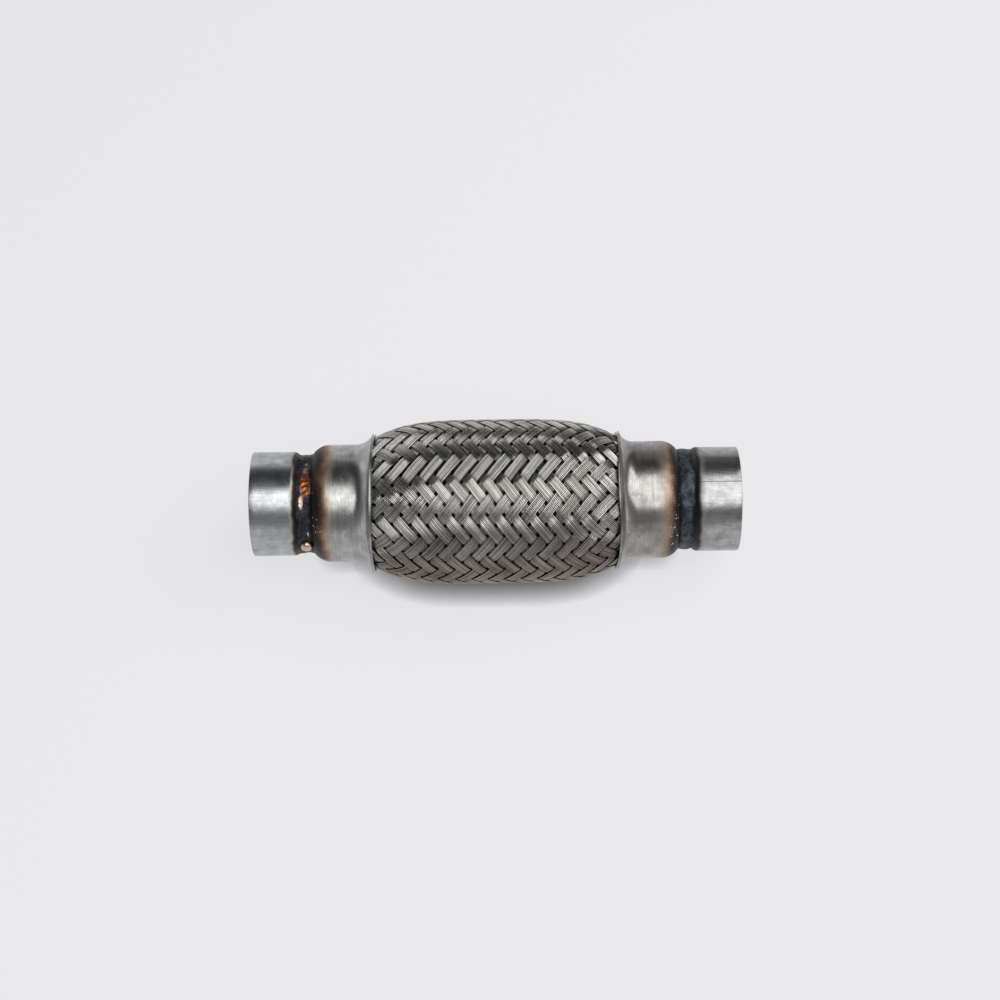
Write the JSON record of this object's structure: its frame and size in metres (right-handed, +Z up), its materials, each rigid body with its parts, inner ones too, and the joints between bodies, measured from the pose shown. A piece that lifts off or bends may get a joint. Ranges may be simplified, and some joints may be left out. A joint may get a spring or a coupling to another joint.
{
  "type": "exhaust flex pipe",
  "caption": "Exhaust flex pipe: a wire-braided bellows between flared end caps, with a plain stub pipe welded into each end to join exhaust pipes.",
  "frame": {"origin": "on the pipe axis, halfway between the welds", "axes": "+X along the pipe axis towards the outlet stub, +Z up as the pipe lies on its braid"},
  "size_m": [0.19, 0.0644, 0.0644],
  "materials": {
    "pipe_steel": "satin drawn tube",
    "cap_steel": "satin pressed sheet",
    "weld_metal": "burnt weld scale",
    "braid_wire": "drawn wire",
    "bellows_sheet": "formed thin sheet",
    "liner_strip": "wound strip"
  },
  "bodies": {
    "root": {"inlet_pipe": "pipe_steel", "outlet_pipe": "pipe_steel", "inlet_cap": "cap_steel", "outlet_cap": "cap_steel", "inlet_weld": "weld_metal", "outlet_weld": "weld_metal", "outer_braid": "braid_wire", "bellows": "bellows_sheet", "inner_liner": "liner_strip"}
  },
  "joints": []
}
